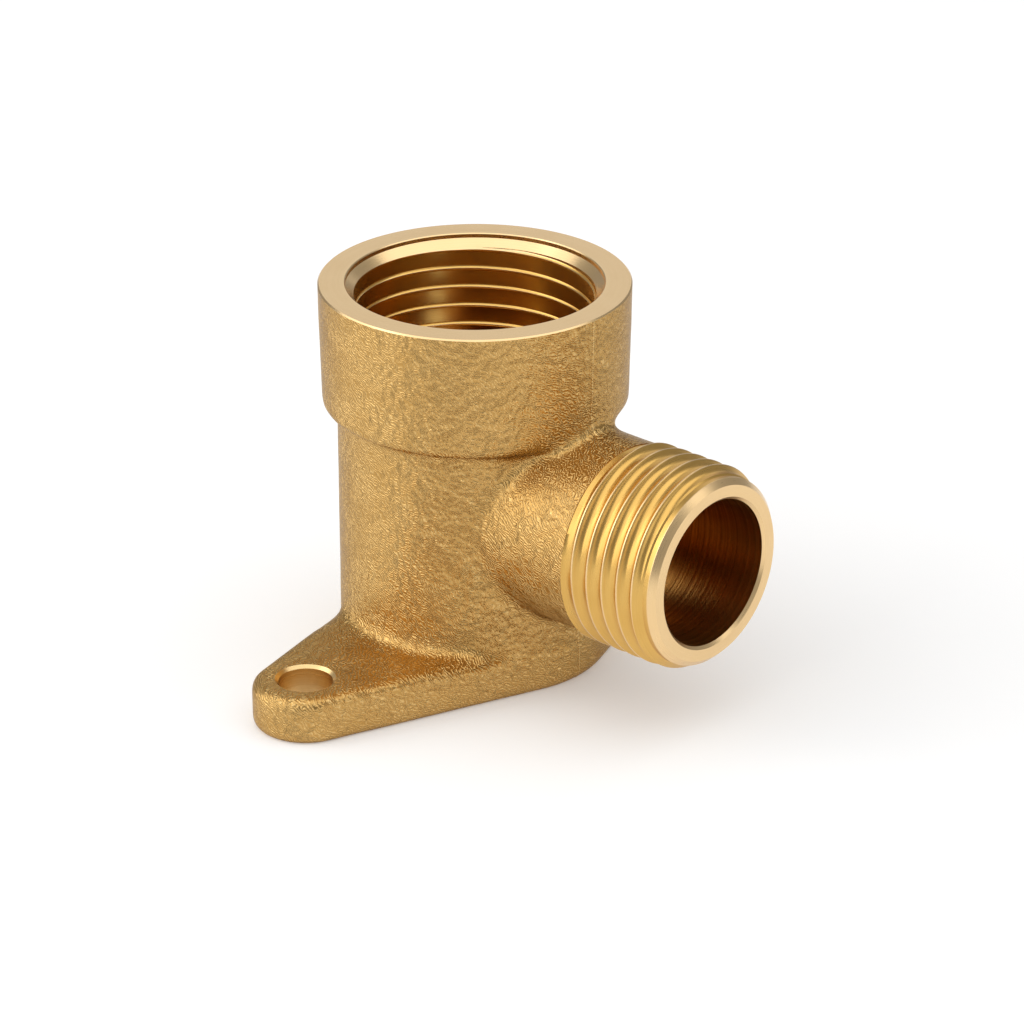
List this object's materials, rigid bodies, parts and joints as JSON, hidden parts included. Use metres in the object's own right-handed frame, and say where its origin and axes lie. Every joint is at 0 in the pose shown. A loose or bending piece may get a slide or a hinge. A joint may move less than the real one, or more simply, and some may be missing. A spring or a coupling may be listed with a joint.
{
  "type": "wall plate elbow",
  "caption": "Forged brass wall plate elbow: internally threaded socket, externally threaded branch at a right angle to it, and opposed screw lugs around a flat wall face.",
  "frame": {"origin": "where the socket's axis meets the wall face", "axes": "+Z along the socket's axis away from the wall, +X along the branch towards its open end, Y through the screw holes"},
  "size_m": [0.0479, 0.0614, 0.0402],
  "materials": {
    "brass": "matt shot-blasted forging skin, with the rim, chamfers, threads, bores and screw holes turned bright"
  },
  "bodies": {
    "root": {"elbow_body": "brass"}
  },
  "joints": []
}
